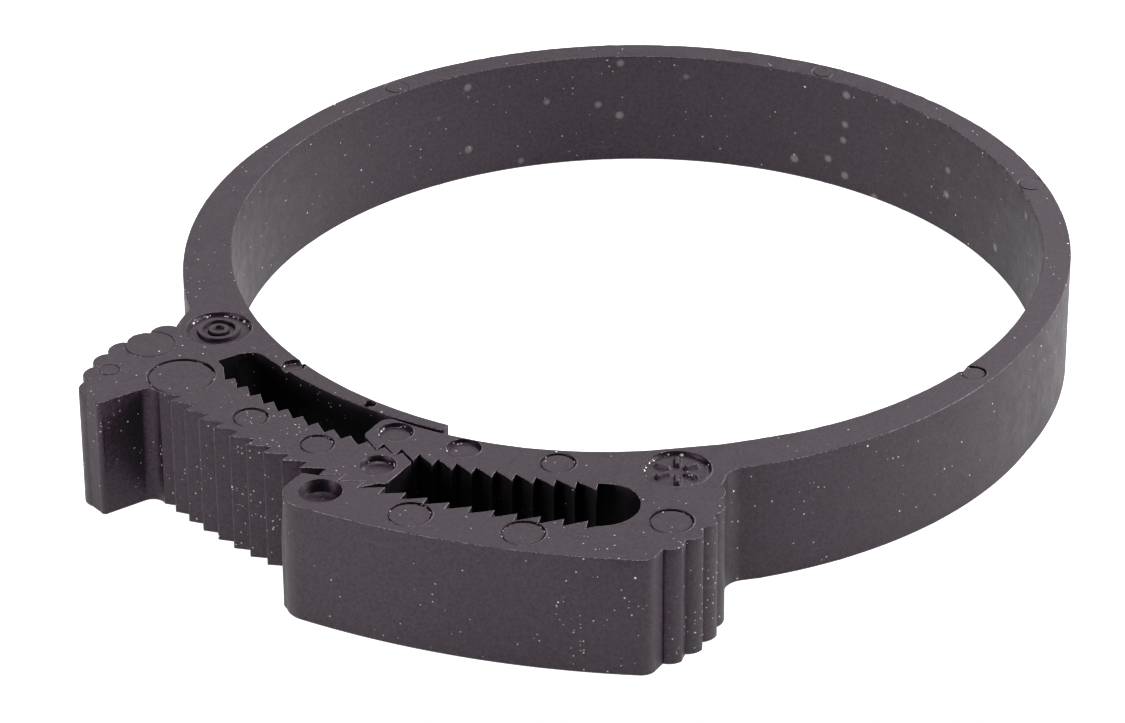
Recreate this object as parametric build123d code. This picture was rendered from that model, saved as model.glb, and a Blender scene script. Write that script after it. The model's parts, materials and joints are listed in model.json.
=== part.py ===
from build123d import *
import math
import os

# A moulded nylon double-bite ratchet hose clamp. It is an open ring with a jaw at each end. The left
# jaw has a toothed tongue, a hook and a thin guard lip. The right jaw has two toothed arms, which bite
# the tongue from both sides. The ring is split into segments where it bends as the clamp closes or is
# released, and each jaw is split into its working members.
# Millimetres and degrees. The bore's axis is +Z from the origin and the underside is z = 0. The back of
# the band is at +Y and the jaws meet at -Y. Bore angles are measured from +X about the bore's axis.

# Ring: the band is thinnest round the back and thickens towards each jaw
WIDTH = 12.0
BORE_R = 39.0
BAND_T = 2.7
RIGHT_ROOT_T = 4.7
LEFT_ROOT_T = 5.5
TAPER_START = 88.0
TAPER_END = 137.0

# Splits in the ring. Bends are about Z, at angles either side of the back. The release hinges are about
# X, and their splits lie across X: one pair near the back, one pair at the jaws.
BEND_ANGLES = [20.0, 48.0, 75.0, 99.0, 121.0]
HINGE_R = BORE_R + BAND_T / 2
TWIST_X = 5.6
LEVEL_X = 30.6
BEND_GAP = 0.24
RELEASE_GAP = 0.12

# Ratchet: four rows of saw teeth on arcs about one pole, the centre about which the jaws close. Teeth
# are numbered from the tongue's tip, where number 0 has its steep face at TOOTH_PHASE about the pole.
PITCH = 2.085
CLICKS = 9
TOOTH_PHASE = -88.4
TONGUE_TEETH = (-11, 0)
ARM_TEETH = (-1, 10)
FACE_PLAY = 0.05
CREST_LAG = 0.35
TONGUE_OUTER_ROOT_R = 57.65
TONGUE_OUTER_TIP_R = 58.9
OUTER_ARM_TIP_R = 57.75
OUTER_ARM_ROOT_R = 59.0
TONGUE_INNER_ROOT_R = 52.8
TONGUE_INNER_TIP_R = 51.85
INNER_ARM_TIP_R = 52.7
INNER_ARM_ROOT_R = 51.5

# Left jaw
TONGUE_END_X = 3.5
HOOK_FACE = -114.5
HOOK_R = 64.5
LEFT_GRIP_CENTRE = (-19.5, -43.8)
LEFT_GRIP_R = 12.33
LEFT_GRIP_START = 212.5
LEFT_GRIP_PITCH = 12.9
LEFT_GRIP_TEETH = 6
LEFT_GRIP_DEPTH = 0.65
HOOK_SPLIT_R = 47.5
TONGUE_SPLIT = -114.6
TONGUE_SPLIT_R = 44.0

# Guard lip, on the left jaw
LIP_ROOT = -118.3
LIP_TIP = -85.8
LIP_ROOT_T = 2.4
LIP_TIP_T = 1.1
LIP_GAP = 0.2

# Right jaw
RIGHT_GRIP_CENTRE = (21.5, -42.4)
RIGHT_GRIP_R = 10.55
RIGHT_GRIP_START = 36.5
RIGHT_GRIP_PITCH = 14.4
RIGHT_GRIP_TEETH = 5
RISER_SHARE = 0.4
RISER_DEPTH = 0.65
FLANK_BULGE = 0.2
ARM_SPLIT = -66.0

OVERSIZE = 300.0


def polar(radius, angle, centre=(0, 0)):
    """A point at a radius and angle about a centre, which is the bore's axis unless another is given."""
    turn = math.radians(angle)
    return (centre[0] + radius * math.cos(turn), centre[1] + radius * math.sin(turn))


def closing_pole():
    """The point about which one jaw turns relative to the other over the full closing travel.

    It lies on Y, so it is the point there that one side's bends, taken together, leave on Y.
    """
    bend = math.radians(CLICKS * PITCH / (2 * len(BEND_ANGLES)))
    turn = complex(math.cos(bend), -math.sin(bend))
    scale, shift = 1, 0
    for angle in reversed(BEND_ANGLES):
        hinge = complex(*polar(HINGE_R, 90 - angle))
        scale = turn * scale
        shift = hinge + turn * (shift - hinge)
    return (0, -shift.real / (scale * 1j).real)


POLE = closing_pole()


def about_pole(radius, angle):
    return polar(radius, angle, POLE)


def on_circle(radius, x):
    """The lower point of a circle about the bore's axis, at x."""
    return (x, -math.sqrt(radius**2 - x**2))


def outline(start, steps):
    """A closed face from a start point and steps: one point is a line, two are an arc through the first."""
    edges = []
    here = start
    for step in steps:
        if len(step) == 1:
            edges.append(Line(here, step[0]))
        else:
            edges.append(ThreePointArc(here, step[0], step[1]))
        here = step[-1]
    edges.append(Line(here, start))
    return make_face(edges)


def solid(face):
    return extrude(face, WIDTH)


def beyond(x, direction):
    """A block that covers everything past a plane across X."""
    return Pos(x + direction * OVERSIZE / 2, 0, 0) * Box(OVERSIZE, OVERSIZE, OVERSIZE)


def radial_slot(angle):
    """A thin block along a radius of the bore, as wide as the gap at a bend."""
    return Rot(0, 0, angle) * Pos(OVERSIZE / 2, 0, 0) * Box(OVERSIZE, BEND_GAP, OVERSIZE)


def sector(start, end):
    """A wedge about the pole from one angle to another, to cut a jaw along radii."""
    middle = (start + end) / 2
    steps = [
        [about_pole(OVERSIZE, start)],
        [about_pole(OVERSIZE, middle), about_pole(OVERSIZE, end)],
    ]
    return extrude(outline(POLE, steps), OVERSIZE, both=True)


def disc(radius, centre=(0, 0)):
    return Pos(*centre, 0) * Cylinder(radius, OVERSIZE)


def thickness(side, angle):
    """Band thickness at an angle from the back: constant, then a straight taper up to the jaw."""
    root = RIGHT_ROOT_T if side > 0 else LEFT_ROOT_T
    share = (angle - TAPER_START) / (TAPER_END - TAPER_START)
    return BAND_T + (root - BAND_T) * min(max(share, 0), 1)


def band_point(side, angle, outer):
    """A point on the band's inside or outside, at an angle from the back towards one side."""
    radius = BORE_R + (thickness(side, angle) if outer else 0)
    return polar(radius, 90 - side * angle)


def band_segment(side, start, end):
    """One stretch of band between two angles from the back."""
    middle = (start + end) / 2
    steps = [
        [band_point(side, middle, False), band_point(side, end, False)],
        [band_point(side, end, True)],
        [band_point(side, middle, True), band_point(side, start, True)],
    ]
    return solid(outline(band_point(side, start, False), steps))


def band_back():
    """The middle of the band, opposite the jaws, between the two twist splits."""
    reach = TWIST_X - RELEASE_GAP / 2
    segment = band_segment(1, -BEND_ANGLES[0], BEND_ANGLES[0])
    return segment & beyond(reach, -1) & beyond(-reach, 1)


def band_side(side):
    """One side's pieces, from the link beside the back to the neck at the jaw."""
    bends = BEND_ANGLES
    twist_cut = side * (TWIST_X + RELEASE_GAP / 2)
    level_cut = side * (LEVEL_X + RELEASE_GAP / 2)
    pieces = [band_segment(side, 0, bends[0]) & beyond(twist_cut, side)]
    for start, end in zip(bends, bends[1:]):
        pieces.append(band_segment(side, start, end))
    pieces.append(band_segment(side, bends[-1], TAPER_END) & beyond(level_cut, side))
    for number, angle in enumerate(bends):
        slot = radial_slot(90 - side * angle)
        pieces[number] -= slot
        pieces[number + 1] -= slot
    return pieces


def saw_teeth(numbers, before, after, play=0.0, lag=0.0):
    """A row of saw teeth about the pole, each a steep face and then a ramp to the next one.

    The steep face steps from the radius before it to the one after it, which lies lag degrees further on.
    """
    steps = []
    first, last = numbers
    for number in range(first, last + 1):
        angle = TOOTH_PHASE + PITCH * number + play
        steps.append([about_pole(before, angle)])
        steps.append([about_pole(after, angle + lag)])
    return steps


def backwards(steps):
    """Straight steps in the opposite order."""
    return [[step[0]] for step in reversed(steps)]


def left_grip():
    """Rounded serrations from the hook's corner to the band: an arc over each crest, valley to valley."""
    steps = []
    for number in range(LEFT_GRIP_TEETH):
        crest = LEFT_GRIP_START - LEFT_GRIP_PITCH * number
        valley = crest - LEFT_GRIP_PITCH / 2
        top = polar(LEFT_GRIP_R, crest, LEFT_GRIP_CENTRE)
        low = polar(LEFT_GRIP_R - LEFT_GRIP_DEPTH, valley, LEFT_GRIP_CENTRE)
        steps.append([top, low])
    return steps


def right_grip():
    """Serrations from the band to the outer arm: a bulging flank from each crest, then a riser."""
    steps = []
    for number in range(RIGHT_GRIP_TEETH):
        crest = RIGHT_GRIP_START - RIGHT_GRIP_PITCH * number
        valley = crest - RIGHT_GRIP_PITCH * (1 - RISER_SHARE)
        middle = (crest + valley) / 2
        middle_r = RIGHT_GRIP_R - RISER_DEPTH / 2 + FLANK_BULGE
        low = polar(RIGHT_GRIP_R - RISER_DEPTH, valley, RIGHT_GRIP_CENTRE)
        steps.append([polar(RIGHT_GRIP_R, crest, RIGHT_GRIP_CENTRE)])
        steps.append([polar(middle_r, middle, RIGHT_GRIP_CENTRE), low])
    last_crest = RIGHT_GRIP_START - RIGHT_GRIP_PITCH * RIGHT_GRIP_TEETH
    steps.append([polar(RIGHT_GRIP_R, last_crest, RIGHT_GRIP_CENTRE)])
    return steps


def left_jaw():
    """The left jaw without its guard lip: root, tongue, hook and grip."""
    root_x = -LEVEL_X + RELEASE_GAP / 2
    root_r = BORE_R + LEFT_ROOT_T - 0.3
    lip_cut = LIP_ROOT - math.degrees(LIP_GAP / BORE_R)
    # the bore's side, then the closed end of the left slot
    steps = [
        [polar(BORE_R, -129), polar(BORE_R, lip_cut)],
        [polar(45.35, lip_cut)],
        [(-20.6, -40.5)],
    ]
    # the tongue: inner teeth, blunt end, outer teeth and the land before the hook
    steps += saw_teeth(TONGUE_TEETH, TONGUE_INNER_ROOT_R, TONGUE_INNER_TIP_R, FACE_PLAY, CREST_LAG)
    steps += [
        [(TONGUE_END_X - 0.4, -45.85)],
        [(TONGUE_END_X - 0.08, -46.1), (TONGUE_END_X, -46.5)],
        [(TONGUE_END_X, -49.9)],
        [(TONGUE_END_X - 0.15, -50.35), (TONGUE_END_X - 0.6, -50.5)],
    ]
    steps += backwards(saw_teeth(TONGUE_TEETH, TONGUE_OUTER_ROOT_R, TONGUE_OUTER_TIP_R, FACE_PLAY))
    steps += [
        [about_pole(TONGUE_OUTER_TIP_R, HOOK_FACE + 1.5)],
        [
            about_pole(TONGUE_OUTER_TIP_R + 0.25, HOOK_FACE + 0.4),
            about_pole(TONGUE_OUTER_TIP_R + 1.1, HOOK_FACE),
        ],
    ]
    # the hook's face and rounded corner, then the grip and the hollow between it and the band
    steps += [
        [about_pole(HOOK_R - 0.5, HOOK_FACE)],
        [about_pole(HOOK_R - 0.1, HOOK_FACE - 0.1), about_pole(HOOK_R, HOOK_FACE - 0.5)],
        [polar(LEFT_GRIP_R - LEFT_GRIP_DEPTH, LEFT_GRIP_START + LEFT_GRIP_PITCH / 2, LEFT_GRIP_CENTRE)],
    ]
    steps += left_grip()
    steps += [
        [(-29.0, -35.3), on_circle(root_r, root_x + 1.1)],
        [on_circle(root_r, root_x)],
    ]
    return solid(outline(on_circle(BORE_R, root_x), steps))


def guard_lip():
    """The thin lip on the hose's side, which tapers to a square end under the inner arm."""
    middle = (LIP_ROOT + LIP_TIP) / 2
    middle_r = BORE_R + 0.46 * (LIP_ROOT_T + LIP_TIP_T)
    tip_r = BORE_R + LIP_TIP_T
    steps = [
        [polar(BORE_R, middle), polar(BORE_R, LIP_TIP)],
        [polar(tip_r - 0.3, LIP_TIP)],
        [polar(tip_r - 0.1, LIP_TIP - 0.1), polar(tip_r, LIP_TIP - 0.5)],
        [polar(middle_r, middle), polar(BORE_R + LIP_ROOT_T, LIP_ROOT)],
    ]
    return solid(outline(polar(BORE_R, LIP_ROOT), steps))


def right_jaw():
    """The right jaw: root, grip, outer arm, the slot that the tongue enters, and inner arm."""
    root_x = LEVEL_X - RELEASE_GAP / 2
    root_r = BORE_R + RIGHT_ROOT_T - 0.25
    # the band's outside and the hollow between it and the grip
    steps = [
        [on_circle(root_r, root_x)],
        [on_circle(root_r, root_x - 1)],
        [(28.8, -33.3), (29.05, -34.5)],
        [(29.2, -35.4)],
    ]
    steps += right_grip()
    # the outer arm: its rounded corner, its long outside, its rounded nose and its teeth
    steps += [
        [(29.95, -49.3), (29.3, -49.95)],
        [(15, -55.15), (-1.4, -57.45)],
        [(-3.3, -56.7), (-4.1, -55)],
        [(-4.05, -52.5)],
        [about_pole(OUTER_ARM_ROOT_R + 0.05, TOOTH_PHASE - 2 * PITCH)],
    ]
    steps += saw_teeth(ARM_TEETH, OUTER_ARM_TIP_R, OUTER_ARM_ROOT_R)
    # the round end of the slot
    steps += [
        [(23.2, -46.9)],
        [(25.1, -43.4), (22.2, -40.1)],
        [(21, -40.2)],
    ]
    # the inner arm: its teeth, its rounded nose and its bore side, which clears the guard lip
    steps += backwards(saw_teeth(ARM_TEETH, INNER_ARM_TIP_R, INNER_ARM_ROOT_R))
    steps += [
        [(-2.1, -44.7)],
        [(-2.65, -44.35), (-2.87, -43.7)],
        [(-2.87, -41.7)],
        [(-2.5, -40.85), (-1.4, -40.55)],
        [polar(40.3, -75), polar(39.45, -58)],
        [polar(BORE_R + 0.1, -49)],
        [polar(BORE_R, -46)],
    ]
    return solid(outline(on_circle(BORE_R, root_x), steps))


def split_left_jaw(jaw):
    """The left jaw as its root, its hook with the grip, and its tongue."""
    tongue_side = sector(TONGUE_SPLIT, ARM_SPLIT) - disc(TONGUE_SPLIT_R)
    block = jaw - tongue_side
    return {
        "left_jaw_root": block & disc(HOOK_SPLIT_R),
        "thumb_hook": block - disc(HOOK_SPLIT_R),
        "ratchet_tongue": jaw & tongue_side,
    }


def split_right_jaw(jaw):
    """The right jaw as its root with the grip, and its two arms."""
    arm_side = sector(-120, ARM_SPLIT)
    arms = jaw & arm_side
    inner_half = disc((OUTER_ARM_TIP_R + INNER_ARM_TIP_R) / 2, POLE)
    return {
        "right_jaw_root": jaw - arm_side,
        "inner_jaw_arm": arms & inner_half,
        "outer_jaw_arm": arms - inner_half,
    }


def parts():
    """Every sub-part by name."""
    named = {"band_back": band_back()}
    for name, side in (("right", 1), ("left", -1)):
        pieces = band_side(side)
        named[f"{name}_band_link"] = pieces[0]
        for number, piece in enumerate(pieces[1:-1], 1):
            named[f"{name}_band_segment_{number}"] = piece
        named[f"{name}_neck"] = pieces[-1]
    named.update(split_left_jaw(left_jaw()))
    named["guard_lip"] = guard_lip()
    named.update(split_right_jaw(right_jaw()))
    return named


os.makedirs("parts", exist_ok=True)
for name, piece in parts().items():
    export_step(piece, f"parts/{name}.step")
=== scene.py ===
import json
import math

import bpy
import numpy as np
from mathutils import Matrix, Vector, noise
from mathutils.geometry import delaunay_2d_cdt


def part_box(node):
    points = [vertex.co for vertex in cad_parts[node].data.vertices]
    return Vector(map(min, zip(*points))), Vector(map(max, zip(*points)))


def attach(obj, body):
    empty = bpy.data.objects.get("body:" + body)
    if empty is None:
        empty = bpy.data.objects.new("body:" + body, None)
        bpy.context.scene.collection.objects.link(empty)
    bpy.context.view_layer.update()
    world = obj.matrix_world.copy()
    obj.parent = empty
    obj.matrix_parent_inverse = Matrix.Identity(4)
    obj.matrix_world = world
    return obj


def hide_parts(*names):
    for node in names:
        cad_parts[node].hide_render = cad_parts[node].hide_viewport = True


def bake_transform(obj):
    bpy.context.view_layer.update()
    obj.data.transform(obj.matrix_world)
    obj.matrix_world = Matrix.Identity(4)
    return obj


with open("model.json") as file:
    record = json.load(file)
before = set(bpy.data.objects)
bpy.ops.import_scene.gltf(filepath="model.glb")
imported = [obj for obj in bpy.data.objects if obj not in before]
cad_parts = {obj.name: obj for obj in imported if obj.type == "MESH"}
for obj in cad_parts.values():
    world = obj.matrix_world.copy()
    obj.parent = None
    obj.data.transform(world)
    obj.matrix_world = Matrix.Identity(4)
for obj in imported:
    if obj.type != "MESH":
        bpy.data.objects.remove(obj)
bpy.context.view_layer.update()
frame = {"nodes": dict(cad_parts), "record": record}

# Looks of a moulded nylon double-bite hose clamp. Every visible piece is one prism on a plan outline. The
# jaws' and the lip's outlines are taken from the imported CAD, and the band's is worked out from its size.
# Edges are slightly rounded, and the tops carry the moulding marks as real relief. Lengths here are
# millimetres unless a comment says otherwise, and go into the meshes as metres. Bore angles, written
# "back", run from the middle of the band's back round to either jaw.

MM = 0.001


# ---------------------------------------------------------------- what the CAD says

def box_mm(node):
    low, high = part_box(node)
    return [value / MM for value in low], [value / MM for value in high]


def bore_radius():
    sizes = [mount["dims"]["r_mm"] for mount in frame["record"]["mounts"] if mount["name"] == "hose_bore"]
    return sizes[0]


BORE_R = bore_radius()
HEIGHT = box_mm("band_back")[1][2]
BAND_T = box_mm("band_back")[1][1] - BORE_R


# ---------------------------------------------------------------- outlines

# Turns in degrees: less than this at a point is a straight run, more than this is a corner of the outline,
# and more than this is a corner that moulding leaves slightly round
STRAIGHT_TURN = 0.4
SHARP_TURN = 14.0
CORNER_TURN = 25.0

# A curve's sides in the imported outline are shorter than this, and get a new point for each turn of this size
CURVE_SIDE = 2.5
CURVE_TURN = 3.0

# A face is level when its normal's Z is more than this, and things closer than NEAR are in one place
FACES_UP = 0.9
NEAR = 0.01

LONGEST_MITER = 2.2
CORNER_RADIUS = 0.1
CORNER_REACH = 0.14


def polar(radius, angle):
    turn = math.radians(angle)
    return (radius * math.cos(turn), radius * math.sin(turn))


def top_outline(nodes):
    """The plan outline of some nodes together, counterclockwise, from their top faces."""
    points = []
    faces = []
    for node in nodes:
        mesh = frame["nodes"][node].data
        for polygon in mesh.polygons:
            level = polygon.normal.z > FACES_UP
            if not level or polygon.center.z / MM < HEIGHT - NEAR:
                continue
            first = len(points)
            for index in polygon.vertices:
                points.append(mesh.vertices[index].co.xy / MM)
            faces.append(list(range(first, len(points))))
    merged, _, triangles, _, _, _ = delaunay_2d_cdt(points, [], faces, 1, 1e-4)
    sides = set()
    for triangle in triangles:
        sides.update(zip(triangle, triangle[1:] + triangle[:1]))
    following = {a: b for a, b in sides if (b, a) not in sides}
    loops = []
    while following:
        start = min(following)
        loop = [start]
        step = following.pop(start)
        while step != start:
            loop.append(step)
            step = following.pop(step)
        loops.append(loop)
    return [tuple(merged[index]) for index in max(loops, key=len)]


def unit(vector):
    return vector / max(np.linalg.norm(vector), 1e-12)


def turns(points):
    """The turn in degrees at each point of a closed outline, positive to the left."""
    before = points - np.roll(points, 1, axis=0)
    after = np.roll(points, -1, axis=0) - points
    cross = before[:, 0] * after[:, 1] - before[:, 1] * after[:, 0]
    dot = (before * after).sum(axis=1)
    return np.degrees(np.arctan2(cross, dot))


def refine(outline, step):
    """More points on a closed outline, lifted off the chords where it is a curve."""
    points = np.array(outline)
    turn = turns(points)
    count = len(points)
    finer = []
    for index in range(count):
        here = points[index]
        there = points[(index + 1) % count]
        chord = there - here
        length = np.linalg.norm(chord)
        bends = [turn[index], turn[(index + 1) % count]]
        soft = [bend for bend in bends if STRAIGHT_TURN < abs(bend) < SHARP_TURN]
        bend = min(soft, key=abs) if soft and length < CURVE_SIDE else 0.0
        pieces = max(1, math.ceil(length / step), math.ceil(abs(bend) / CURVE_TURN))
        outward = np.array([chord[1], -chord[0]]) / length
        rise = length / 2 * math.tan(math.radians(bend) / 4)
        for part in range(pieces):
            share = part / pieces
            finer.append(here + chord * share + outward * rise * 4 * share * (1 - share))
    return np.array(finer)


def inside(points, outline):
    """Which points lie inside a closed outline."""
    x, y = points[:, 0][:, None], points[:, 1][:, None]
    x0, y0 = outline[:, 0], outline[:, 1]
    x1, y1 = np.roll(x0, -1), np.roll(y0, -1)
    crosses = (y0 > y) != (y1 > y)
    with np.errstate(divide="ignore", invalid="ignore"):
        at = x0 + (y - y0) * (x1 - x0) / (y1 - y0)
    return (crosses & (x < at)).sum(axis=1) % 2 == 1


def clearance(points, outline):
    """The distance from each point to a closed outline's nearest side."""
    start = outline
    side = np.roll(outline, -1, axis=0) - outline
    size = np.maximum((side**2).sum(axis=1), 1e-12)
    offset = points[:, None, :] - start[None, :, :]
    share = np.clip((offset * side).sum(axis=2) / size, 0, 1)
    gap = offset - share[:, :, None] * side
    return np.sqrt((gap**2).sum(axis=2)).min(axis=1)


def miters(points, seams):
    """Where each point goes when every side but the seams moves inward by one unit."""
    side = np.roll(points, -1, axis=0) - points
    side /= np.linalg.norm(side, axis=1)[:, None]
    inward = np.stack([-side[:, 1], side[:, 0]], axis=1)
    result = np.zeros_like(points)
    count = len(points)
    for index in range(count):
        normals = np.array([inward[index - 1], inward[index]])
        moves = np.array([0.0 if (index - 1) % count in seams else 1.0, 0.0 if index in seams else 1.0])
        if abs(np.linalg.det(normals)) < 0.02:
            result[index] = unit(normals.sum(axis=0)) * moves.mean()
        else:
            result[index] = np.linalg.solve(normals, moves)
        size = np.linalg.norm(result[index])
        if size > LONGEST_MITER:
            result[index] *= LONGEST_MITER / size
    return result


def soften(points, seams):
    """Rounds upright outer corners. Also marks each point: 1 at an outer corner, -1 at an inner one."""
    turn = turns(points)
    count = len(points)
    rounder = []
    corner = []
    for index in range(count):
        here = points[index]
        if abs(turn[index]) < CORNER_TURN or index in seams or (index - 1) % count in seams:
            rounder.append(here)
            corner.append(0.0)
            continue
        before = points[index - 1] - here
        after = points[(index + 1) % count] - here
        room = 0.4 * min(np.linalg.norm(before), np.linalg.norm(after))
        far = min(CORNER_RADIUS + CORNER_REACH, room)
        near = min(CORNER_RADIUS, 0.5 * room)
        before = unit(before)
        after = unit(after)
        if turn[index] > 0:
            middle = [here + before * near, here + (before + after) * near * 0.25, here + after * near]
        else:
            middle = [here]
        rounder += [here + before * far] + middle + [here + after * far]
        corner += [0.0] + [math.copysign(1.0, turn[index])] * len(middle) + [0.0]
    return np.array(rounder), corner


def inset_limits(points):
    """How far each point can move inward before a short side at an outer corner turns over."""
    side = np.roll(points, -1, axis=0) - points
    length = np.linalg.norm(side, axis=1)
    shrink = np.tan(np.radians(np.maximum(turns(points), 0)) / 2)
    sides = 0.8 * length / np.maximum(shrink + np.roll(shrink, -1), 1e-6)
    return np.minimum(sides, np.roll(sides, 1))


# ---------------------------------------------------------------- relief of the top face

TOP_SINK = 0.04
EDGE = 0.07
RIM = 0.035

# Section of a moulding mark: distance outside its edge, and height. The last height runs to the middle.
PLAIN = [(0.2, 0.0), (0.12, 0.0), (0.05, RIM), (0.0, 0.0), (-0.05, -0.24), (-0.13, -0.24), (-0.2, -0.1)]
SUNK = [(0.2, 0.0), (0.12, 0.0), (0.05, RIM), (0.0, 0.0), (-0.05, -0.36), (-0.14, -0.42), (-0.3, -0.35)]
DEEP = [(0.2, 0.0), (0.12, 0.0), (0.05, RIM), (0.0, -0.02), (-0.06, -0.5), (-0.2, -0.62), (-0.5, -0.64)]
BOWL = [(0.18, 0.0), (0.1, 0.0), (0.04, 0.02), (0.0, -0.05), (-0.1, -0.8), (-0.3, -1.1), (-0.9, -1.2)]
FLUSH = [(0.14, 0.0), (0.08, 0.0), (0.03, 0.015), (0.0, 0.0), (-0.04, -0.06), (-0.09, -0.06), (-0.14, 0.0)]
PROUD = [(0.2, 0.0), (0.12, 0.0), (0.04, -0.06), (-0.02, -0.05), (-0.08, 0.03), (-0.2, 0.035)]
ROUNDEL = [(0.22, 0.0), (0.14, 0.0), (0.06, RIM), (0.0, 0.0), (-0.08, -0.32), (-0.16, -0.4), (-0.32, -0.36)]
# A plain generic badge: two raised rings and a pip in the middle of a round
BADGE = ROUNDEL + [
    (-0.98, -0.36),
    (-1.06, 0.0),
    (-1.2, 0.03),
    (-1.38, 0.03),
    (-1.5, 0.0),
    (-1.58, -0.34),
    (-2.02, -0.34),
    (-2.1, -0.02),
    (-2.3, 0.03),
    (-2.5, 0.0),
    (-2.6, -0.28),
    (-2.85, -0.3),
]

# Moulding marks on each top face: middle, diameter, section
LEFT_MARKS = [
    (-25.0, -34.8, 6.1, BADGE),
    (-23.0, -43.9, 6.3, PLAIN),
    (-13.4, -46.8, 3.3, PLAIN),
    (-5.6, -47.7, 3.2, PLAIN),
    (1.15, -48.0, 3.2, DEEP),
    (-28.9, -40.5, 4.8, FLUSH),
    (-29.4, -46.3, 2.0, FLUSH),
]
RIGHT_MARKS = [
    (24.5, -35.1, 6.1, ROUNDEL),
    (-0.6, -42.4, 3.2, SUNK),
    (-0.9, -54.3, 3.9, BOWL),
    (8.0, -53.6, 4.0, PLAIN),
    (18.2, -51.2, 4.0, PLAIN),
    (28.4, -43.0, 4.0, PLAIN),
    (6.2, -41.7, 3.2, SUNK),
    (14.8, -39.6, 3.3, PLAIN),
]
LIP_MARKS = [
    (-15.1, -37.1, 2.2, SUNK),
    (-5.3, -39.4, 1.1, DEEP),
]
BAND_MARKS = [
    (39.6, -6.6, 2.4, PLAIN),
    (27.9, 29.1, 2.4, PROUD),
    (-1.2, 40.4, 2.3, PROUD),
    (-37.2, 15.4, 2.4, PROUD),
]
RELIEF_RISE = 0.38
RELIEF_FROM = -0.3

# How finely the marks' rings are divided
RING_POINTS = 48
SMALL_RING_POINTS = 32
SMALL_MARK = 2.5
SMALLEST_RING = 0.05
RELIEF_POINTS = 120
RELIEF_MARGIN = 0.45
RELIEF_STEP = 0.13


# Where a mark's raised lip and its groove lie, as distances outside its edge
LIP_FROM = 0.02
LIP_TO = 0.09
GROOVE_FROM = -0.17
GROOVE_TO = -0.03
LIP_SHARE = 0.7
FULL_GROOVE = 0.24


def mark_values(marks, x, y):
    """How much a point lies on a mark's raised lip, and in its groove."""
    lip = 0.0
    groove = 0.0
    for middle_x, middle_y, diameter, section in marks:
        outside = math.hypot(x - middle_x, y - middle_y) - diameter / 2
        if LIP_FROM < outside < LIP_TO:
            lip = LIP_SHARE
        if GROOVE_FROM < outside < GROOVE_TO and section is not BOWL:
            groove = min(1.0, -section[-2][1] / FULL_GROOVE)
    return lip, groove


def smooth(low, high, value):
    """Goes from 0 at low to 1 at high, which may be the smaller of the two."""
    share = min(max((value - low) / (high - low), 0), 1)
    return share * share * (3 - 2 * share)


def rib_profile(distance, half, soft=0.12):
    """1 near the middle of a rib, and 0 outside its half width, with a soft slope between."""
    return 1 - smooth(half - soft, half + soft, abs(distance))


DIAL_RIBS = 6
RIB_HALF_WIDTH = 0.26
RIB_HALF_LENGTH = 0.72
RIB_MIDDLE = 1.5


def dial_relief(radius, angle):
    """A plain generic relief: short ribs like the marks of a dial."""
    spread = 2 * math.pi / DIAL_RIBS
    turn = (angle + spread / 2) % spread - spread / 2
    across = radius * math.sin(turn)
    return rib_profile(across, RIB_HALF_WIDTH) * rib_profile(radius - RIB_MIDDLE, RIB_HALF_LENGTH, 0.15)


RELIEFS = {RIGHT_MARKS[0][:2]: dial_relief}


def mark_height(mark, x, y):
    """The height of one mark's section at a point of the top face."""
    middle_x, middle_y, diameter, section = mark
    radius = math.hypot(x - middle_x, y - middle_y)
    outside = radius - diameter / 2
    if outside >= section[0][0]:
        return 0.0
    height = section[-1][1]
    for (far, far_height), (near, near_height) in zip(section, section[1:]):
        if outside >= near:
            share = (outside - near) / (far - near)
            height = near_height + (far_height - near_height) * share
            break
    relief = RELIEFS.get((middle_x, middle_y))
    if relief and outside < RELIEF_FROM:
        height += RELIEF_RISE * relief(radius, math.atan2(y - middle_y, x - middle_x))
    return height


def top_height(marks, x, y):
    """The top face's height above its plain level."""
    return sum(mark_height(mark, x, y) for mark in marks)


def mark_rings(mark):
    """Closed rings of points at the bends of a mark's section, and inside a relief."""
    middle_x, middle_y, diameter, section = mark
    radii = [diameter / 2 + outside for outside, _ in section]
    columns = RING_POINTS if diameter > SMALL_MARK else SMALL_RING_POINTS
    if (middle_x, middle_y) in RELIEFS:
        columns = RELIEF_POINTS
        radii += list(np.arange(diameter / 2 - RELIEF_MARGIN, 0.1, -RELIEF_STEP))
    rings = []
    for radius in radii:
        if radius < SMALLEST_RING:
            continue
        angles = np.arange(columns) * 2 * math.pi / columns
        ring = np.stack([middle_x + radius * np.cos(angles), middle_y + radius * np.sin(angles)], axis=1)
        rings.append(ring)
    return rings


# ---------------------------------------------------------------- meshes

def patchy(x, y, scale, layer):
    """Smooth noise of about -1 to 1 over the plan; each use has a layer of its own."""
    return noise.noise(Vector((x * scale, y * scale, layer)))


def wear(x, y):
    """How much wider an edge is worn at a point, as a share of the plain edge."""
    coarse = patchy(x, y, 0.9, 3.1)
    fine = patchy(x, y, 3.3, 7.7)
    return max(0.0, 0.35 * coarse + 0.5 * fine)


CHIPS_FROM = 8.0
CHIPS_FULL = 26.0
CHIP_GAIN = 2.6
CHIP_THRESHOLD = 0.12


def chips(x, y):
    """Extra wear on the far part of the band, where the top edge is chipped."""
    far = smooth(CHIPS_FROM, CHIPS_FULL, y)
    bite = patchy(x, y, 1.7, 11.3)
    return far * CHIP_GAIN * max(0.0, bite - CHIP_THRESHOLD)


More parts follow.
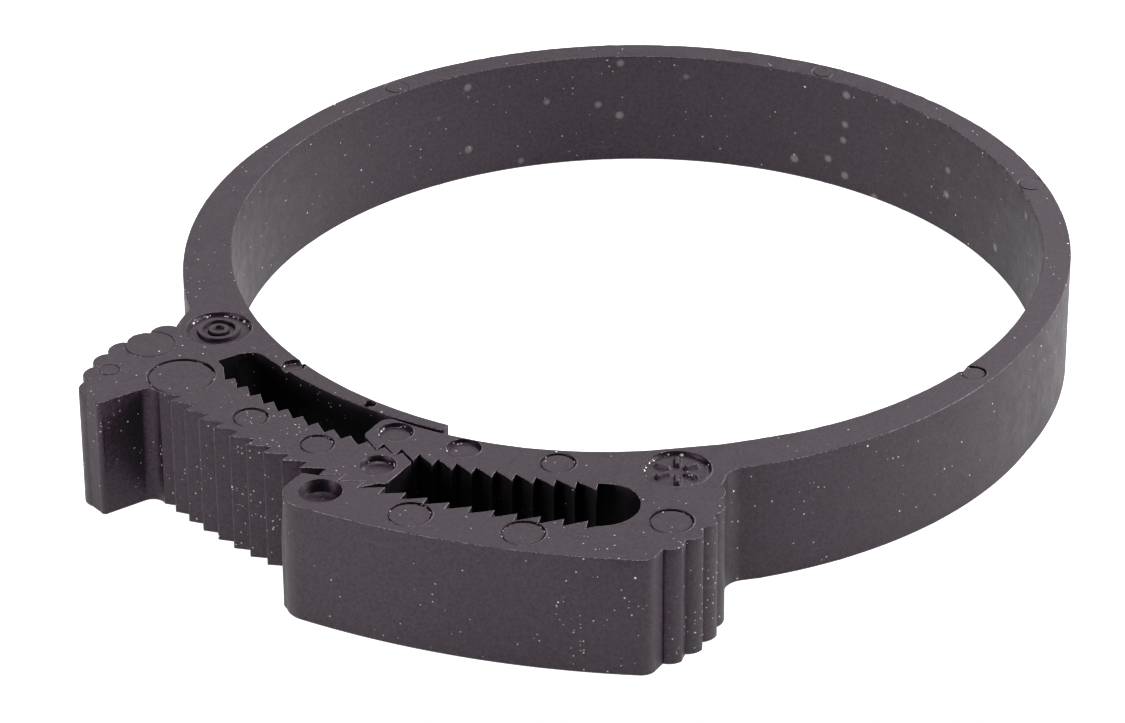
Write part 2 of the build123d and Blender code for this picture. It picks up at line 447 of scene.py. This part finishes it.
# Where dust and moulding crumbs gather: middle, reach, how much
DUSTY = [
    (-36.5, -49.5, 6.0, 0.9),
    (-24.0, -50.0, 6.0, 0.5),
    (-12.0, -53.0, 7.0, 0.7),
    (25.0, -51.0, 5.0, 0.6),
    (32.0, -44.0, 4.0, 1.0),
    (36.0, -38.0, 5.0, 0.5),
    (-33.5, -30.0, 7.0, 0.3),
    (-10.0, -46.0, 7.0, 0.4),
    (-14.0, -40.0, 9.0, 0.4),
]
THIN_DUST = 0.12

# A thin fin of flash that stands upright on the nose of the outer arm: middle, reach, how far it stands out
FLASH = (-3.72, -56.17, 0.55, 0.22)

# Where the top edge carries a nearly unbroken pale burr: middle, reach
BURRED = [(0.0, -54.0, 6.0), (6.5, -53.5, 6.0), (-8.0, -50.0, 4.5), (39.0, -14.0, 6.0)]
BURR_GAIN = 1.5

# Where the slots' upright walls get painted shade, a darker colour than the other faces: middle, reach
SHADED_SLOT_WALLS = [
    (6.5, -48.4, 3.6),
    (10.0, -47.4, 3.4),
    (14.0, -46.3, 3.4),
    (18.0, -45.0, 3.6),
    (21.5, -44.0, 4.0),
    (-19.6, -39.6, 3.0),
    (-16.8, -39.0, 3.0),
    (-13.6, -39.6, 3.0),
    (-9.8, -41.0, 3.0),
    (-6.0, -42.2, 2.8),
]
# Nearer to the axis than this, a wall belongs to the bore and not to a slot
SLOT_SIDE_R = 40.0


def within(zones, x, y):
    return any(math.hypot(x - middle_x, y - middle_y) < reach for middle_x, middle_y, reach in zones)


def burr_at(x, y):
    return BURR_GAIN if within(BURRED, x, y) else 1.0


# Painted shade: 1 within the slots' zones and away from the bore, else 0; the material keeps it to upright
# walls
def shade_at(x, y):
    return 1.0 if within(SHADED_SLOT_WALLS, x, y) and math.hypot(x, y) > SLOT_SIDE_R else 0.0


def flash_at(x, y, level):
    """How far the fin of flash stands out; it fades away towards the top edge."""
    middle_x, middle_y, reach, size = FLASH
    gap = math.hypot(x - middle_x, y - middle_y)
    return size * max(0.0, 1 - gap / reach) * smooth(0.95, 0.6, level / HEIGHT)


def dust_at(x, y):
    amount = THIN_DUST
    for middle_x, middle_y, reach, share in DUSTY:
        gap = math.hypot(x - middle_x, y - middle_y) / reach
        amount += share * max(0.0, 1 - gap * gap)
    return min(amount, 1.0)


# A mark's ring keeps this far from the outline. A rounded edge's middle point lies this share of the way in.
RING_CLEARANCE = 0.03
ROUND_MIDDLE = 0.29
WALL_LEVELS = (0.3, 0.6, 0.9)


class Prism:
    """A closed prism on a plan outline, with rounded edges and relief on its top."""

    def __init__(self, outline, corner, seams, marks):
        self.points = outline
        self.corner = corner
        self.marks = marks
        self.miter = miters(outline, seams)
        self.limit = inset_limits(outline)
        self.vertices = []
        self.faces = []
        self.values = {"rim": [], "corner": [], "dust": [], "groove": [], "shade": []}

    def vertex(self, x, y, z, rim=0.0, corner=0.0, groove=0.0):
        self.vertices.append((x, y, z))
        self.values["rim"].append(rim)
        self.values["corner"].append(corner)
        self.values["dust"].append(dust_at(x, y))
        self.values["groove"].append(groove)
        self.values["shade"].append(shade_at(x, y))

    def ring(self, inset, level, top=False, rim=0.0):
        """One closed ring of vertices, inset from the outline, at a level."""
        first = len(self.vertices)
        for index, point in enumerate(self.points):
            width = inset
            drop = 0.0
            if top:
                extra = wear(*point) + chips(*point)
                width *= 1 + extra
                drop = top_height(self.marks, *point)
                drop -= EDGE * extra * (1 - inset / EDGE) if inset < EDGE else 0
            width = min(width, self.limit[index]) - flash_at(*point, level)
            x, y = point + self.miter[index] * width
            corner = 0.0 if inset == EDGE else self.corner[index]
            self.vertex(x, y, level + drop, rim * burr_at(*point), corner)
        return first

    def wall(self, low, high):
        """Joins two rings with upright faces."""
        count = len(self.points)
        for index in range(count):
            after = (index + 1) % count
            self.faces.append((low + index, low + after, high + after, high + index))

    def cap(self, ring, marks, upward):
        """Fills a ring with triangles that follow the marks' rings."""
        level = HEIGHT - TOP_SINK if upward else 0.0
        count = len(self.points)
        base = np.array(self.vertices[ring:ring + count])[:, :2]
        coords = [Vector(point) for point in base]
        edges = []
        for mark in marks:
            for loop in mark_rings(mark):
                keep = inside(loop, base)
                keep[keep] = clearance(loop[keep], base) > RING_CLEARANCE
                if not keep.any():
                    continue
                numbers = {}
                for place in np.flatnonzero(keep):
                    numbers[place] = len(coords)
                    coords.append(Vector(loop[place]))
                for place in numbers:
                    after = (place + 1) % len(loop)
                    if after in numbers:
                        edges.append((numbers[place], numbers[after]))
        result = delaunay_2d_cdt(coords, edges, [list(range(count))], 0, 1e-5)
        merged, _, triangles, sources, _, owners = result
        names = []
        for index, point in enumerate(merged):
            same = [source for source in sources[index] if source < count]
            if same:
                names.append(ring + same[0])
                continue
            names.append(len(self.vertices))
            height = top_height(marks, point.x, point.y)
            rim, groove = mark_values(marks, point.x, point.y)
            self.vertex(point.x, point.y, level + height, rim=rim, groove=groove)
        for triangle, owner in zip(triangles, owners):
            if not owner:
                continue
            face = [names[index] for index in triangle]
            if len(set(face)) == 3:
                self.faces.append(tuple(face) if upward else tuple(reversed(face)))

    def build(self, name):
        """The finished object: rings from the underside to the top, walls between them, and two caps."""
        top = HEIGHT - TOP_SINK
        middle = ROUND_MIDDLE * EDGE
        rings = [self.ring(EDGE, 0.0), self.ring(middle, middle), self.ring(0.0, EDGE)]
        for share in WALL_LEVELS:
            rings.append(self.ring(0.0, share * HEIGHT))
        rings.append(self.ring(0.0, top - EDGE, top=True))
        rings.append(self.ring(middle, top - middle, top=True, rim=1.0))
        rings.append(self.ring(EDGE, top, top=True))
        for low, high in zip(rings, rings[1:]):
            self.wall(low, high)
        self.cap(rings[0], [], upward=False)
        self.cap(rings[-1], self.marks, upward=True)
        count = len(self.points)
        hard = set()
        for first in (rings[0], rings[-1]):
            for index in range(count):
                hard.add(frozenset((first + index, first + (index + 1) % count)))
        return make_mesh(name, self.vertices, self.faces, self.values, hard)


SHARP_EDGE = 38.0


def make_mesh(name, vertices, faces, values, hard):
    """A new object from millimetre vertices, with point attributes and face-weighted normals."""
    mesh = bpy.data.meshes.new(name)
    mesh.from_pydata([tuple(value * MM for value in vertex) for vertex in vertices], [], faces)
    for key, numbers in values.items():
        attribute = mesh.attributes.new(key, "FLOAT", "POINT")
        attribute.data.foreach_set("value", np.array(numbers, dtype=np.float32))
    mesh.shade_smooth()
    mesh.set_sharp_from_angle(angle=math.radians(SHARP_EDGE))
    for edge in mesh.edges:
        if frozenset(edge.vertices) in hard:
            edge.use_edge_sharp = True
    mesh.validate()
    piece = bpy.data.objects.new(name, mesh)
    bpy.context.scene.collection.objects.link(piece)
    normals = piece.modifiers.new("normals", "WEIGHTED_NORMAL")
    normals.keep_sharp = True
    depsgraph = bpy.context.evaluated_depsgraph_get()
    finished = bpy.data.meshes.new_from_object(piece.evaluated_get(depsgraph))
    piece.modifiers.clear()
    piece.data = finished
    bpy.data.meshes.remove(mesh)
    finished.name = name
    return piece


def make_piece(name, outline, seam_tests, marks, nodes):
    """One moulded piece on a plan outline; sides that pass a seam test stay sharp and unworn."""
    rounder, corner = soften(outline, seam_sides(outline, seam_tests))
    piece = Prism(rounder, corner, seam_sides(rounder, seam_tests), marks).build(name)
    piece.data.materials.append(NYLON)
    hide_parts(*nodes)
    return piece


def seam_sides(points, tests):
    """The numbers of an outline's sides whose two ends both pass one of the tests."""
    found = set()
    count = len(points)
    for index in range(count):
        for test in tests:
            if test(points[index]) and test(points[(index + 1) % count]):
                found.add(index)
    return found


# ---------------------------------------------------------------- material

class Nodes:
    """A short way to write a material's nodes."""

    def __init__(self, name):
        self.material = bpy.data.materials.new(name)
        self.material.use_nodes = True
        self.tree = self.material.node_tree
        self.tree.nodes.clear()

    def add(self, kind, **inputs):
        node = self.tree.nodes.new(kind)
        for key, value in inputs.items():
            self.put(node, key, value)
        return node

    def put(self, node, key, value):
        socket = node.inputs[int(key[1:])] if key[0] == "_" else node.inputs[key.replace("_", " ")]
        if isinstance(value, bpy.types.NodeSocket):
            self.tree.links.new(value, socket)
        else:
            socket.default_value = value

    def math(self, operation, a, b=None):
        node = self.add("ShaderNodeMath")
        node.operation = operation
        self.put(node, "_0", a)
        if b is not None:
            self.put(node, "_1", b)
        return node.outputs[0]

    def times(self, *values):
        """The product of several masks and numbers."""
        product = values[0]
        for value in values[1:]:
            product = self.math("MULTIPLY", product, value)
        return product

    def span(self, value, low, high, start=0.0, end=1.0):
        """Goes smoothly from start to end as a value goes from low to high."""
        node = self.add("ShaderNodeMapRange")
        node.interpolation_type = "SMOOTHSTEP"
        for number, item in enumerate((value, low, high, start, end)):
            self.put(node, f"_{number}", item)
        return node.outputs[0]

    def mix(self, share, a, b):
        node = self.add("ShaderNodeMix")
        node.data_type = "RGBA"
        self.put(node, "_0", share)
        self.put(node, "_6", a)
        self.put(node, "_7", b)
        return node.outputs[2]

    def noise(self, vector, scale, detail=2.0, rough=0.5):
        node = self.add("ShaderNodeTexNoise", Vector=vector, Scale=scale, Detail=detail, Roughness=rough)
        return node.outputs[0]

    def stretch(self, vector, scale):
        node = self.add("ShaderNodeMapping", Vector=vector, Scale=scale)
        return node.outputs[0]

    def attribute(self, name):
        node = self.add("ShaderNodeAttribute")
        node.attribute_name = name
        return node.outputs["Fac"]

    def blots(self, vector, scale, size, share):
        """Soft round blots, one in some of the cells: a mask of 0 to 1."""
        cell = self.add("ShaderNodeTexVoronoi", Vector=vector, Scale=scale)
        chosen = self.add("ShaderNodeSeparateColor", Color=cell.outputs["Color"])
        picked = self.math("LESS_THAN", chosen.outputs[0], share)
        blot = self.span(cell.outputs["Distance"], 0.4 * size, size, 1.0, 0.0)
        return self.math("MULTIPLY", picked, blot)

    def specks(self, vector, scale, size, share):
        """Small dots, one in some of the cells: a mask of 0 to 1."""
        cell = self.add("ShaderNodeTexVoronoi", Vector=vector, Scale=scale)
        chosen = self.add("ShaderNodeSeparateColor", Color=cell.outputs["Color"])
        picked = self.math("LESS_THAN", chosen.outputs[0], share)
        reach = self.math("MULTIPLY", chosen.outputs[1], size)
        dot = self.math("LESS_THAN", cell.outputs["Distance"], reach)
        return self.math("MULTIPLY", picked, dot)


def grey(value, warm=1.0):
    """The nylon's purplish grey at a brightness, a little redder when warm is above 1."""
    return (value * warm, value * 0.82, value, 1.0)


# Pattern scales, in cells per metre
CLOUDS = 70.0
SCUFF_PATCHES = 160.0
DUST_CLUSTERS = 260.0
BLOTS = 520.0
MOTTLE = 600.0
SCUFFS = 1500.0
SPECKLE = 3000.0
DRAW_LINES = 3400.0
BURR_BREAKS = 3600.0
GRAIN = 5200.0

# Tones
NYLON_DARK = grey(0.031)
NYLON_LIGHT = grey(0.038, 1.03)
MOTTLE_TONE = grey(0.048, 1.04)
GRAIN_TONE = grey(0.066, 1.02)
SPECKLE_TONE = grey(0.012, 1.02)
DRAWN_TONE = grey(0.085)
SCUFF_TONE = grey(0.13)
# Painted shade for inner upright corners
CREASE_SHADE_TONE = grey(0.006)
# Partly the paler wear of outer corners, partly a painted highlight
RIDGE_WEAR_AND_HIGHLIGHT_TONE = grey(0.10, 1.02)
# Painted shade for the marks' grooves
GROOVE_SHADE_TONE = grey(0.012)
# Painted shade for the slots' upright walls
SLOT_SHADE_TONE = grey(0.004)
BURR_TONE = (0.36, 0.33, 0.36, 1.0)
DUST_TONE = (0.75, 0.72, 0.75, 1.0)
BLOT_TONE = (0.6, 0.58, 0.6, 1.0)
SPECULAR_TINT = (1.0, 0.88, 1.0, 1.0)


def wall_mask(n):
    """1 on upright faces, 0 on level ones."""
    normal = n.add("ShaderNodeSeparateXYZ", Vector=n.add("ShaderNodeNewGeometry").outputs["Normal"])
    level = n.math("ABSOLUTE", normal.outputs[2])
    return n.span(level, 0.25, 0.75, 1.0, 0.0)


def plain_tone(n, where, mottle, grain):
    """The plastic's own cloudy, mottled, grained and speckled tone."""
    cloudy = n.noise(where, CLOUDS, 3.0)
    speckle = n.noise(where, SPECKLE, 2.0, 0.6)
    base = n.mix(n.span(cloudy, 0.35, 0.65), NYLON_DARK, NYLON_LIGHT)
    base = n.mix(n.span(mottle, 0.35, 0.7, 0.0, 0.35), base, MOTTLE_TONE)
    base = n.mix(n.span(grain, 0.40, 0.66, 0.0, 0.6), base, GRAIN_TONE)
    return n.mix(n.span(speckle, 0.6, 0.35, 0.0, 0.45), base, SPECKLE_TONE)


def add_wall_marks(n, base, where, wall, draw):
    """Fine upright lines from the mould's draw, and patches of level scuffs."""
    base = n.mix(n.times(n.span(draw, 0.55, 0.75), wall, 0.12), base, DRAWN_TONE)
    scuff = n.noise(n.stretch(where, (0.06, 0.06, 1.0)), SCUFFS, 4.0, 0.6)
    patch = n.span(n.noise(where, SCUFF_PATCHES, 1.0), 0.52, 0.66)
    return n.mix(n.times(n.span(scuff, 0.6, 0.72), patch, wall, 0.22), base, SCUFF_TONE)


def add_edge_marks(n, base, where, wall, mottle, groove):
    """Painted shade in inner corners, paler outer corners that are partly wear and partly a painted highlight,
    broken pale burrs, and painted shade in the marks' grooves and on the slots' walls.
    """
    corner = n.attribute("corner")
    # Painted shade: inner upright corners are darkened where shade falls
    base = n.mix(n.span(corner, -1.0, -0.05, 0.9, 0.0), base, CREASE_SHADE_TONE)
    # Paler outer upright corners: partly worn edges, partly a painted highlight
    ridge_wear_and_highlight = n.times(n.span(corner, 0.2, 0.9), n.span(mottle, 0.4, 0.6, 0.15, 0.75))
    base = n.mix(ridge_wear_and_highlight, base, RIDGE_WEAR_AND_HIGHLIGHT_TONE)

    rim = n.attribute("rim")
    breaks = n.math("SUBTRACT", n.noise(where, BURR_BREAKS, 3.0, 0.6), n.span(rim, 0.0, 1.5, 0.68, 0.40))
    burr = n.times(n.span(breaks, 0.0, 0.04), n.span(rim, 0.15, 0.5), 0.75)
    base = n.mix(burr, base, BURR_TONE)

    # Painted shade in the marks' grooves
    base = n.mix(n.times(groove, 0.22), base, GROOVE_SHADE_TONE)
    # Painted shade darkens the slots' upright walls
    return n.mix(n.times(n.attribute("shade"), wall, 0.8), base, SLOT_SHADE_TONE)


def dust_mask(n, where, groove):
    """Clusters of dust specks in three sizes, and crumbs in the marks' grooves."""
    thick = n.span(n.noise(where, DUST_CLUSTERS, 2.0), 0.42, 0.62, 0.15, 1.0)
    clusters = n.times(n.attribute("dust"), thick)
    fine = n.specks(where, 3600.0, 0.34, n.times(clusters, 0.45))
    middling = n.specks(where, 1900.0, 0.22, n.times(clusters, 0.26))
    large = n.specks(where, 900.0, 0.11, n.times(clusters, 0.12))
    crumbs = n.specks(where, 3000.0, 0.6, n.times(n.span(groove, 0.35, 0.9), 0.62))
    dust = n.math("MAXIMUM", n.times(fine, 0.7), n.math("MAXIMUM", middling, large))
    return n.math("MAXIMUM", dust, crumbs)


def add_blots(n, colour, where, wall):
    """Soft pale blots on the walls of the band's back."""
    place = n.add("ShaderNodeSeparateXYZ", Vector=where)
    far = n.span(place.outputs[1], 0.012, 0.026)
    return n.mix(n.times(n.blots(where, BLOTS, 0.3, 0.16), far, wall, 0.3), colour, BLOT_TONE)


def surface_bump(n, grain, mottle, drawn, dust):
    height = n.math("ADD", n.times(grain, 0.6), n.times(mottle, 0.5))
    height = n.math("ADD", height, n.times(drawn, 0.5))
    height = n.math("ADD", height, n.times(dust, 1.2))
    return n.add("ShaderNodeBump", Height=height, Strength=0.4, Distance=0.00003).outputs[0]


def nylon_material():
    n = Nodes("nylon_matt")
    where = n.add("ShaderNodeTexCoord").outputs["Object"]
    wall = wall_mask(n)
    mottle = n.noise(where, MOTTLE, 4.0, 0.65)
    grain = n.noise(where, GRAIN, 3.0, 0.7)
    draw = n.noise(n.stretch(where, (1.0, 1.0, 0.012)), DRAW_LINES, 3.0, 0.7)
    groove = n.attribute("groove")

    base = plain_tone(n, where, mottle, grain)
    base = add_wall_marks(n, base, where, wall, draw)
    base = add_edge_marks(n, base, where, wall, mottle, groove)
    dust = dust_mask(n, where, groove)
    colour = add_blots(n, n.mix(dust, base, DUST_TONE), where, wall)

    rough = n.span(mottle, 0.3, 0.7, 0.42, 0.54)
    shader = n.add("ShaderNodeBsdfPrincipled", Base_Color=colour, Roughness=rough, IOR=1.53)
    shader.inputs["Specular Tint"].default_value = SPECULAR_TINT
    n.put(shader, "Normal", surface_bump(n, grain, mottle, n.times(draw, wall), dust))
    n.add("ShaderNodeOutputMaterial", Surface=shader.outputs[0])
    return n.material


NYLON = nylon_material()


# ---------------------------------------------------------------- jaws and lip

LEFT_JAW = ["left_jaw_root", "thumb_hook", "ratchet_tongue"]
RIGHT_JAW = ["right_jaw_root", "inner_jaw_arm", "outer_jaw_arm"]
STEP = 0.6
TOUCHING = 1e-3


def jaw_root(outline):
    """The two ends of a jaw's cut across X where its band begins: bore side, then outside."""
    count = len(outline)
    best = None
    for index in range(count):
        a = outline[index]
        b = outline[(index + 1) % count]
        length = math.dist(a, b)
        across = abs(a[0] - b[0]) < TOUCHING and abs(a[0]) > 28 and a[1] > -34
        if across and (best is None or length > best[0]):
            best = (length, a, b)
    return sorted(best[1:], key=lambda point: math.hypot(*point))


def at_root(root):
    return lambda point: abs(point[0] - root[0][0]) < TOUCHING and point[1] > root[1][1] - TOUCHING


left_outline = top_outline(LEFT_JAW)
right_outline = top_outline(RIGHT_JAW)
left_root = jaw_root(left_outline)
right_root = jaw_root(right_outline)


def lip_cut_angle(outline):
    """The bore angle of the left jaw's end face behind the lip, from +X."""
    on_bore = [point for point in outline if abs(math.hypot(*point) - BORE_R) < NEAR]
    return max(math.degrees(math.atan2(point[1], point[0])) for point in on_bore)


LIP_CUT = lip_cut_angle(left_outline)


def bore_point(angle):
    x, y = polar(BORE_R, angle)
    return (x * MM, y * MM, HEIGHT / 2 * MM)


# The lip's root reaches this far out from the bore
LIP_ROOT = 5.7


def at_lip_cut(point):
    angle = math.degrees(math.atan2(point[1], point[0]))
    return abs(angle - LIP_CUT) < NEAR and math.hypot(*point) < BORE_R + LIP_ROOT


def make_jaws():
    for body, outline, root, marks, nodes in (
        ("left_jaw", left_outline, left_root, LEFT_MARKS, LEFT_JAW),
        ("right_jaw", right_outline, right_root, RIGHT_MARKS, RIGHT_JAW),
    ):
        piece = make_piece(f"{body}_moulding", refine(outline, STEP), [at_root(root)], marks, nodes)
        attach(piece, body)


# The fillet's height in millimetres, and its length as a bore angle
FILLET_RISE = 2.0
FILLET_SPAN = 1.6


def lip_fillet(radius):
    """The hollow curve from the left jaw's end face down onto the outside of the lip."""
    curve = []
    for turn in range(0, 91, 10):
        rise = FILLET_RISE * (1 - math.sin(math.radians(turn)))
        span = FILLET_SPAN * (1 - math.cos(math.radians(turn)))
        curve.append(polar(radius + rise, LIP_CUT + span))
    return curve


def lip_outline():
    """The guard lip, carried back across the small gap to the left jaw's end face."""
    outline = np.array(top_outline(["guard_lip"]))
    angles = np.degrees(np.arctan2(outline[:, 1], outline[:, 0]))
    radii = np.hypot(outline[:, 0], outline[:, 1])
    at_end = angles < angles.min() + 0.02
    outer = radii[at_end].max()
    points = []
    for point, angle, radius, end in zip(outline, angles, radii, at_end):
        if end and radius > outer - NEAR:
            points += lip_fillet(outer)
        elif end:
            points.append(polar(radius, LIP_CUT))
        elif radius < BORE_R + 0.5 or angle > LIP_CUT + FILLET_SPAN + 0.2:
            points.append(tuple(point))
    return points


def make_lip():
    points = refine(lip_outline(), STEP)
    piece = make_piece("guard_lip_moulding", points, [at_lip_cut], LIP_MARKS, ["guard_lip"])
    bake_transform(piece)


# ---------------------------------------------------------------- band

# Bore angles in degrees: where the band begins to thicken, and the steps along it and at each end
TAPER_START = 88.0
ARC_STEP = 1.0
END_STEP = 0.03


def back_angle(point):
    """The bore angle of a point from the middle of the band's back."""
    return math.degrees(math.atan2(abs(point[0]), point[1]))


def band_thickness(root, back):
    """Constant round the back, then a straight taper that ends on the jaw's own outside."""
    end = back_angle(root[1])
    full = math.hypot(*root[1]) - BORE_R
    share = min(max((back - TAPER_START) / (end - TAPER_START), 0), 1)
    return BAND_T + (full - BAND_T) * share


def arc_stations(start, end):
    """Bore angles along a stretch, with a very short step at each end, so that shading meets there."""
    count = max(2, math.ceil((end - start) / ARC_STEP))
    inner = np.linspace(start + END_STEP, end - END_STEP, count)
    return [start] + list(inner) + [end]


def band_piece(side, start, end, root, name, nodes, last=False):
    """One stretch of band; the last one ends on the jaw's root cut instead of on a radius."""
    bore_end = back_angle(root[0]) if last else end
    outer_end = back_angle(root[1]) if last else end
    bore = [polar(BORE_R, 90 - side * back) for back in arc_stations(start, bore_end)]
    outer = []
    for back in arc_stations(start, outer_end):
        outer.append(polar(BORE_R + band_thickness(root, back), 90 - side * back))
    if last:
        bore[-1] = root[0]
        outer[-1] = root[1]
    points = bore + outer[::-1]
    if side < 0:
        points = points[::-1]
    loop = np.array(points)
    area = (loop[:, 0] * np.roll(loop[:, 1], -1) - loop[:, 1] * np.roll(loop[:, 0], -1)).sum()
    if area < 0:
        loop = loop[::-1]
    ends = [(bore[0], outer[0]), (bore[-1], outer[-1])]
    return make_piece(name, loop, [on_end(end) for end in ends], BAND_MARKS, nodes)


def on_end(ends):
    """Whether a point is one of the two ends of a cut."""
    return lambda point: min(math.dist(point, end) for end in ends) < 1e-6


# The bodies from the band's back out to a jaw. Each stretch of band crosses the joint between two of them,
# and ends where its neighbours are rigid: at these bore angles, and last at the jaw's root.
CHAIN = ["band_back", "link", "segment_1", "segment_2", "segment_3", "segment_4", "neck", "jaw"]
CUTS = [0.0, 14.0, 34.0, 61.5, 87.0, 110.0, 124.5, None]

# Bore angles for each stretch's two bodies, near one first; make_stretch pairs them with the bodies, but
# nothing here blends the stretch between them
TURNS = [
    (4.0, 12.0),
    (14.2, 26.0),
    (38.0, 58.0),
    (64.0, 86.0),
    (89.0, 109.0),
    (117.5, 124.3),
    (124.8, 128.0),
]

# For these stretches the far body is listed first, because blended the other way round, rounding errors open a
# seam in some poses
FAR_FIRST = (4, 6)


def body_of(side_name, link):
    return link if link == "band_back" else f"{side_name}_{link}"


def nodes_of(side_name, link):
    """The CAD nodes that the band's pieces replace on one body; the jaws have pieces of their own."""
    if link == "jaw":
        return []
    if link == "band_back":
        return [link]
    return [f"{side_name}_neck" if link == "neck" else f"{side_name}_band_{link}"]


def make_stretch(side_name, side, root, number):
    near, far = CHAIN[number - 1:number + 1]
    start, end = CUTS[number - 1:number + 1]
    nodes = nodes_of(side_name, near) + nodes_of(side_name, far)
    name = f"{side_name}_band_moulding_{number}"
    piece = band_piece(side, start, end, root, name, nodes, last=end is None)
    ends = []
    for link, back in zip((near, far), TURNS[number - 1]):
        ends.append((body_of(side_name, link), bore_point(90 - side * back)))
    if number in FAR_FIRST:
        ends.reverse()
    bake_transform(piece)


def make_band():
    for side_name, side, root in (("right", 1, right_root), ("left", -1, left_root)):
        for number in range(1, len(CHAIN)):
            make_stretch(side_name, side, root, number)


make_jaws()
make_lip()
make_band()


# ---------------------------------------------------------------- floor, light and camera

# The floor's sizes are in metres. It lies just below the object, and glows a little, so it stays pale.
FLOOR_HALF = 4.0
FLOOR_LEVEL = -0.00004
FLOOR_TONE = (0.36, 0.37, 0.365)
FLOOR_ROUGH = 0.8
FLOOR_GLOW = 0.62


def floor_material():
    n = Nodes("floor_white")
    where = n.add("ShaderNodeTexCoord").outputs["Object"]
    soft = n.noise(where, 9.0, 2.0)
    tint = n.mix(soft, FLOOR_TONE + (1.0,), tuple(0.985 * value for value in FLOOR_TONE) + (1.0,))
    shader = n.add("ShaderNodeBsdfPrincipled", Base_Color=tint)
    n.put(shader, "Roughness", FLOOR_ROUGH)
    n.put(shader, "Emission_Strength", FLOOR_GLOW)
    n.put(shader, "Emission_Color", (1.0, 1.0, 1.0, 1.0))
    n.add("ShaderNodeOutputMaterial", Surface=shader.outputs[0])
    return n.material


def make_floor():
    corners = []
    for x, y in ((-1, -1), (1, -1), (1, 1), (-1, 1)):
        corners.append((x * FLOOR_HALF, y * FLOOR_HALF, FLOOR_LEVEL))
    mesh = bpy.data.meshes.new("floor")
    mesh.from_pydata(corners, [], [(0, 1, 2, 3)])
    floor = bpy.data.objects.new("floor", mesh)
    bpy.context.scene.collection.objects.link(floor)
    floor.data.materials.append(floor_material())


# Lights stand on a sphere round the object, in metres: name, direction round it from +X and above the
# floor in degrees, and power in watts
LIGHT_REACH = 0.9
LIGHT_SIZE = 0.45
LIGHT_COLOUR = (1.0, 0.965, 0.99)
LIGHTS = [
    ("key", 30, 20, 5.6),
    ("back", 90, 35, 3.6),
    ("top", 90, 86, 4.2),
    ("front_left", 240, 12, 3.2),
    ("left", 140, 30, 0.9),
]
WORLD_COLOUR = (1.0, 0.995, 1.0, 1.0)
WORLD_STRENGTH = 0.03


def area_light(name, place, power):
    lamp = bpy.data.lights.new(name, "AREA")
    lamp.shape = "DISK"
    lamp.size = LIGHT_SIZE
    lamp.energy = power
    lamp.color = LIGHT_COLOUR
    holder = bpy.data.objects.new(name, lamp)
    bpy.context.scene.collection.objects.link(holder)
    holder.location = place
    holder.rotation_euler = (-Vector(place)).to_track_quat("-Z", "Y").to_euler()


def direction(around, above):
    turn = math.radians(around)
    rise = math.radians(above)
    return (math.cos(turn) * math.cos(rise), math.sin(turn) * math.cos(rise), math.sin(rise))


def make_light():
    world = bpy.data.worlds.new("studio")
    bpy.context.scene.world = world
    world.use_nodes = True
    background = world.node_tree.nodes["Background"]
    background.inputs[0].default_value = WORLD_COLOUR
    background.inputs[1].default_value = WORLD_STRENGTH
    for name, around, above, power in LIGHTS:
        area_light(name, [LIGHT_REACH * value for value in direction(around, above)], power)


# The camera stands in front and to the right, looking down at the jaws with a long lens: its place in
# metres, the way it looks, its roll in degrees, and its sensor and lens in millimetres
CAMERA_PLACE = (0.2127, -0.3681, 0.2452)
CAMERA_LOOK = (-0.4453, 0.7412, -0.5023)
CAMERA_ROLL = -0.3645
SENSOR = 36.0
LENS = 160.88


def make_camera():
    look = Vector(CAMERA_LOOK).normalized()
    level = look.cross(Vector((0, 0, 1))).normalized()
    rise = level.cross(look)
    roll = math.radians(CAMERA_ROLL)
    right = level * math.cos(roll) + rise * math.sin(roll)
    up = rise * math.cos(roll) - level * math.sin(roll)
    camera = bpy.data.cameras.new("camera")
    camera.sensor_fit = "HORIZONTAL"
    camera.sensor_width = SENSOR
    camera.lens = LENS
    camera.clip_start = 0.01
    camera.clip_end = 10.0
    holder = bpy.data.objects.new("camera", camera)
    bpy.context.scene.collection.objects.link(holder)
    turn = Matrix((right, up, -look)).transposed().to_4x4()
    holder.matrix_world = Matrix.Translation(Vector(CAMERA_PLACE)) @ turn
    bpy.context.scene.camera = holder


# The display curve: scene value, shown value
TONE = [(0.012, 0.005), (0.026, 0.012), (0.045, 0.042), (0.07, 0.07), (0.3, 0.31), (0.64, 1.0)]


def photographic_tone():
    """A plain display transform, with a toe that deepens the darkest shadows as a photograph does."""
    view = bpy.context.scene.view_settings
    view.view_transform = "Standard"
    view.use_curve_mapping = True
    mapping = view.curve_mapping
    curve = mapping.curves[3]
    for scene_value, shown in TONE:
        curve.points.new(scene_value, shown)
    for point in curve.points:
        point.handle_type = "VECTOR"
    mapping.update()


make_floor()
make_light()
make_camera()
photographic_tone()
